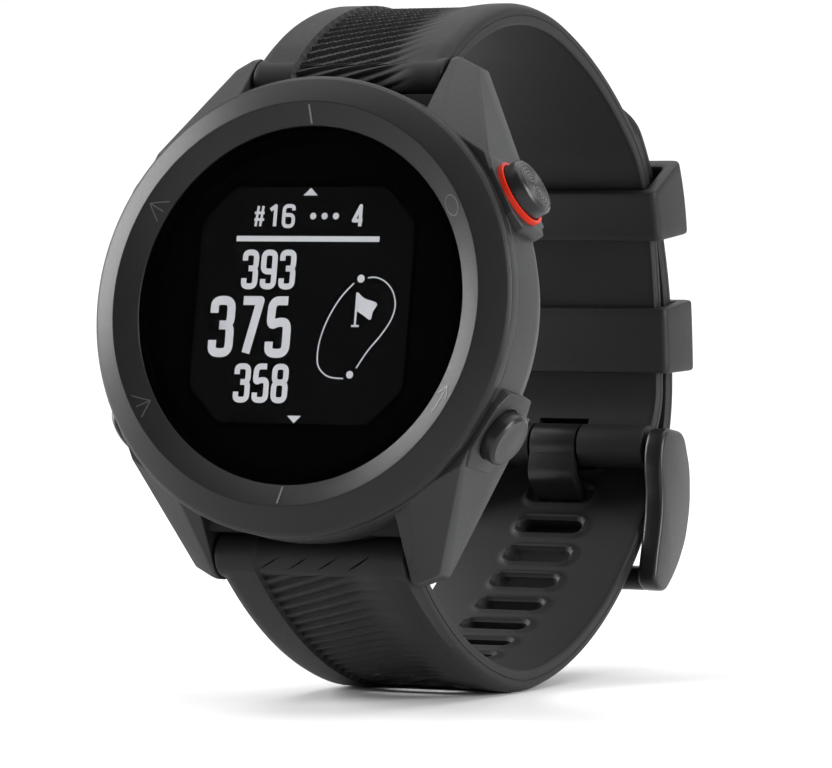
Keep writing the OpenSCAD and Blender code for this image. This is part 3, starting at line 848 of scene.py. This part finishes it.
def barrel(at_yz, r=END_R):
    """A plain round end of a band half."""
    w = HALF_W
    profile = [(0, -w), (r - 0.25, -w), (r - 0.06, -w + 0.08), (r, -w + 0.28), (r, w - 0.28),
               (r - 0.06, w - 0.08), (r - 0.25, w), (0, w)]
    return turned(profile, (0, at_yz[0], at_yz[1]), (1, 0, 0), n=96)


# How far round the end the panel runs, in degrees either way from where band and end meet
PANEL_FROM, PANEL_TO = -75, 110


def ribbed_barrel(at_yz, start, turn, slant, groove, r=END_R, n=144):
    """A round end that carries the ribbed panel on from the band; start is where they meet."""
    stations = np.concatenate([[-HALF_W, -HALF_W + 0.08], np.linspace(-HALF_W + 0.28, HALF_W - 0.28, 67),
                               [HALF_W - 0.08, HALF_W]])
    inset = np.concatenate([[0.25, 0.06], np.zeros(67), [0.06, 0.25]])
    rings = []
    for x, i in zip(stations, inset):
        ring = []
        for k in range(n):
            a = 360 * k / n
            behind = ((a - start) * turn + 180) % 360 - 180
            s = -math.radians(behind) * r
            on_panel = PANEL_FROM < behind < PANEL_TO
            cut = float(ribs(np.array(x), s, slant, RIBS_END, groove)) if on_panel else 0.0
            t = math.radians(a)
            q = r - i - cut
            ring.append((x, at_yz[0] + q * math.cos(t), at_yz[1] + q * math.sin(t)))
        rings.append(ring)
    return grid(rings, closed=False)


def slot_cutter(arcs, s, length=SLOT_L, width=SLOT_W, depth=(-1.0, BAND_T + 1.0)):
    p, n = at(arcs, s)
    along = np.array([-n[1], n[0]])
    outline = []
    half, r = (length - width) / 2, width / 2
    for side in (1, -1):
        for t in np.linspace(-90, 90, 13):
            a = math.radians(t)
            outline.append((side * (half + r * math.cos(a)), side * r * math.sin(a)))
    rings = []
    for off in depth:
        rings.append([(x, *(p + off * n + d * along)) for x, d in outline])
    return grid(rings, closed=False)


def lever_way(y, z):
    """The opening for a release pin's lever, on the wrist side of a round end."""
    x0, x1, half = 4.4, 6.8, 0.6
    return slab([(x0, z - half), (x1, z - half), (x1, z + half), (x0, z + half)], y, y + 6)


def cutters(name, parts):
    return new_object(name, *joined(parts))


def leaf(y, z, x, length=3.6, depth=0.55):
    """A leaf-shaped cut, for the barrel at 6 o'clock."""
    rings = []
    n = 14
    for i in range(n + 1):
        t = i / n
        w = 0.34 * math.sin(math.pi * t) ** 0.8 + 0.004
        cx, turn = x + (t - 0.5) * length, math.radians(238 - 62 * t)
        c = np.array([y + END_R * math.cos(turn), z + END_R * math.sin(turn)])
        d = np.array([math.cos(turn), math.sin(turn)])
        e = np.array([-d[1], d[0]])
        h = depth * math.sin(math.pi * t) ** 0.7 + 0.01
        rings.append([(cx, *(c + d * 0.4 + e * w)), (cx, *(c + d * 0.4 - e * w)), (cx, *(c - d * h))])
    return grid(rings, closed=False)


# Depths of the cuts either side of the thin web, a sheet that stands in for shade in two slots
WEB_INNER, WEB_OUTER = (-1.0, 1.5), (1.75, BAND_T + 1.0)


def make_lower_strap():
    stops = spaced((0, 31, 0.13), (31, TANG_S + 27, 0.24), (TANG_S + 27, TAIL_END - 7, 0.5),
                   (TAIL_END - 7, TAIL_END, 0.2))
    obj = band_mesh("long_band", SLOTTED, stops, tail_w, outer_lower, inner_lower)
    y, z = PIN[0], -PIN[1]
    n = at(SLOTTED, 0)[1]
    start = math.degrees(math.atan2(n[1], n[0]))
    boolean(obj, new_object("end", *ribbed_barrel((y, z), start, -1, 1, 0.0)), "UNION")
    # The slots each side of the tang's keep a thin web of band, a sheet that stands in for shade there, so
    # that no light comes through
    shade_web_slots = (SLOTS[9], SLOTS[11])
    cuts = [slot_cutter(SLOTTED, s) for s in SLOTS if s not in shade_web_slots and s != TANG_S]
    cuts.append(slot_cutter(SLOTTED, TANG_S, *TANG_SLOT))
    for s in shade_web_slots:
        cuts += [slot_cutter(SLOTTED, s, depth=WEB_INNER), slot_cutter(SLOTTED, s, depth=WEB_OUTER)]
    cuts += [cylinder_x((y, z), BORE_R, -12, 12), lever_way(y, z)]
    cuts += [leaf(y, z, x) for x in (-4.2, -1.2, 1.9, 5.0)]
    boolean(obj, cutters("cuts", cuts), "DIFFERENCE")
    shade(obj, 32)
    keep(obj, "band_long", SILICONE, "lower_strap", slot="band_silicone")


# Direction from the 12 o'clock pin in which the short half leaves its round end, in degrees
UPPER_MEET = 137


def make_upper_strap():
    end = sum(reach(a) for a in UPPER)
    stops = spaced((0, 28, 0.15), (28, end, 0.4))
    obj = band_mesh("short_band", UPPER, stops, even_w, outer_upper, inner_plain)
    boolean(obj, new_object("end", *ribbed_barrel(PIN, UPPER_MEET, 1, -1, RIB_DEPTH)), "UNION")
    boolean(obj, new_object("end", *barrel(BUCKLE_PIN)), "UNION")
    cuts = [cylinder_x(PIN, BORE_R, -12, 12), lever_way(*PIN)]
    boolean(obj, cutters("cuts", cuts), "DIFFERENCE")
    boolean(obj, new_object("bore", *cylinder_x(BUCKLE_PIN, BORE_R, -12, 12)), "DIFFERENCE")
    gap = TANG_W / 2 + 0.3
    boolean(obj, new_object("gap", *cylinder_x(BUCKLE_PIN, 2.9, -gap, gap)), "DIFFERENCE")
    shade(obj, 32)
    keep(obj, "band_short", SILICONE, "upper_strap", slot="band_silicone")


# ------------------------------------------------------------------ keepers
def keeper_mesh(arc, a, length, inner_t, outer_t, side_t=1.35, n=9):
    """A loop round both layers, its four corners and its edges rounded."""
    half = math.degrees(length / (arc[1] + BAND_T) / 2)
    r0, r1 = arc[1] - PLAY, arc[1] + 2 * BAND_T + 0.3 + PLAY
    x = HALF_W + PLAY
    edge = 0.28
    rings = []

    def ring(angle, inset):
        hole = soften([(-x - inset, r0 - inset), (x + inset, r0 - inset), (x + inset, r1 + inset),
                       (-x - inset, r1 + inset)], 0.5 + inset, k=5)
        i = inset
        out = soften([(-x - side_t + i, r0 - inner_t + i), (x + side_t - i, r0 - inner_t + i),
                      (x + side_t - i, r1 + outer_t - i), (-x - side_t + i, r1 + outer_t - i)], 0.9, k=5)
        t = math.radians(angle)

        def put(q):
            return (q[0], arc[0][0] + q[1] * math.cos(t), arc[0][1] + q[1] * math.sin(t))
        return [put(q) for q in out], [put(q) for q in hole]

    e = math.degrees(edge / (arc[1] + BAND_T))
    spots = [(a - half, edge), (a - half + 0.3 * e, 0.3 * edge), (a - half + e, 0.0)]
    spots += [(q, 0.0) for q in np.linspace(a - half + e, a + half - e, n)[1:-1]]
    spots += [(a + half - e, 0.0), (a + half - 0.3 * e, 0.3 * edge), (a + half, edge)]
    outs, holes = zip(*[ring(q, i) for q, i in spots])
    loops = list(outs) + list(reversed(holes))
    return grid(loops)


def make_keepers():
    low = new_object("keeper_near_buckle", *keeper_mesh(UPPER[3], 14.1, 7, 0.8, 1.4))
    shade(low, 40)
    keep(low, "keeper_low", KEEPER_SILICONE, "lower_keeper", slot="band_silicone")
    high = new_object("keeper_near_tip", *keeper_mesh(UPPER[2], 26.5, 6.4, 1.0, 1.6))
    shade(high, 40)
    keep(high, "keeper_high", KEEPER_SILICONE, "upper_keeper", slot="band_silicone")


# ------------------------------------------------------------------ buckle
def make_buckle():
    parts = []
    for s in (-1, 1):
        x0, x1 = sorted((s * ARM_X, s * (ARM_X + ARM_W)))
        parts.append(prism(soften(ARM_OUTLINE, 1.3, k=5), x0, x1))
    obj = new_object("buckle_loop", *joined(parts))
    bevel(obj, 0.45, 4, 60)
    bar = new_object("bar", *cylinder_x(FAR_BAR, 1.25, -ARM_X - 0.6, ARM_X + 0.6, 48))
    boolean(obj, bar, "UNION")
    boolean(obj, new_object("bore", *cylinder_x(BUCKLE_PIN, BORE_R, -ARM_X - 1.6, ARM_X + 1.6)), "DIFFERENCE")
    shade(obj, 35)
    keep(obj, "buckle", BUCKLE_COAT, "buckle_frame", slot="buckle_coat")


def make_tang():
    mid = curve_through(TANG_PATH, 8)
    n = len(mid)
    left, right = [], []
    for i in range(n):
        d = mid[min(i + 1, n - 1)] - mid[max(i - 1, 0)]
        d = d / np.linalg.norm(d)
        half = TANG_T / 2 * (1 - 0.3 * float(smoothstep((i - n + 8) / 8)))
        left.append(mid[i] + half * np.array([-d[1], d[0]]))
        right.append(mid[i] - half * np.array([-d[1], d[0]]))
    obj = new_object("tang_plate", *prism(left + right[::-1], -TANG_W / 2, TANG_W / 2))
    hub = new_object("hub", *cylinder_x(BUCKLE_PIN, END_R, -TANG_W / 2, TANG_W / 2, 96))
    boolean(obj, hub, "UNION")
    bevel(obj, 0.22, 3, 50)
    boolean(obj, new_object("bore", *cylinder_x(BUCKLE_PIN, BORE_R, -6, 6)), "DIFFERENCE")
    shade(obj, 35)
    keep(obj, "tang", BUCKLE_COAT, "buckle_tang", slot="buckle_coat")


# ------------------------------------------------------------------ stage
def make_stage():
    low = cad_low[2]
    rows = [(-0.8, 0), (0.55, 0)]
    rows += [(0.55 + 0.5 * math.sin(t), 0.5 - 0.5 * math.cos(t)) for t in np.linspace(0, math.pi / 2, 17)[1:]]
    rows += [(1.05, 2.0)]
    verts = [(x, y, low + z) for y, z in rows for x in (-2.5, 2.5)]
    faces = [(2 * i, 2 * i + 1, 2 * i + 3, 2 * i + 2) for i in range(len(rows) - 1)]
    mesh = bpy.data.meshes.new("floor")
    mesh.from_pydata(verts, [], faces)
    mesh.shade_smooth()
    floor = bpy.data.objects.new("floor", mesh)
    bpy.context.scene.collection.objects.link(floor)
    mat, _, _, bsdf = principled("pale_floor")
    bsdf.inputs["Base Color"].default_value = (0.8, 0.8, 0.8, 1)
    bsdf.inputs["Roughness"].default_value = 0.7
    bsdf.inputs["Specular IOR Level"].default_value = 0.2
    mesh.materials.append(mat)


# Each light as (name, place, size, watts)
LIGHTS = (("top_light", (0.0, 0.25, 0.9), (1.4, 1.2), 11),
          ("right_light", (0.8, -0.05, 0.2), (0.3, 0.6), 9),
          ("left_light", (-0.8, -0.05, 0.3), (0.4, 0.6), 10))
LIGHTS_AIM = (0, 0.02, 0)
WORLD_STRENGTH = 0.22
FOCAL, SENSOR = 231.8, 36
CAMERA_AT, CAMERA_AIM = (0.2314, -0.4545, 0.0098), (0.01034, -0.00622, -0.0056)


def area_light(name, location, size, power):
    light = bpy.data.lights.new(name, "AREA")
    light.shape = "RECTANGLE"
    light.size, light.size_y = size
    light.energy = power
    obj = bpy.data.objects.new(name, light)
    obj.location = location
    obj.rotation_euler = (Vector(LIGHTS_AIM) - Vector(location)).to_track_quat("-Z", "Y").to_euler()
    bpy.context.scene.collection.objects.link(obj)


def make_lights():
    for name, location, size, power in LIGHTS:
        area_light(name, location, size, power)
    world = bpy.data.worlds.new("world")
    world.use_nodes = True
    world.node_tree.nodes["Background"].inputs["Color"].default_value = (1, 1, 1, 1)
    world.node_tree.nodes["Background"].inputs["Strength"].default_value = WORLD_STRENGTH
    bpy.context.scene.world = world
    bpy.context.scene.view_settings.view_transform = "Standard"


def make_camera():
    camera = bpy.data.cameras.new("camera")
    camera.lens = FOCAL
    camera.sensor_width = SENSOR
    obj = bpy.data.objects.new("camera", camera)
    obj.location = CAMERA_AT
    obj.rotation_euler = (Vector(CAMERA_AIM) - obj.location).to_track_quat("-Z", "Y").to_euler()
    bpy.context.scene.collection.objects.link(obj)
    bpy.context.scene.camera = obj


make_camera()
make_stage()
make_lights()
repaint()
make_case()
make_bezel()
make_bezel_symbols()
make_display()
make_marks()
make_hole_map()
make_numbers()
make_buttons()
make_lower_strap()
make_upper_strap()
make_keepers()
make_buckle()
make_tang()
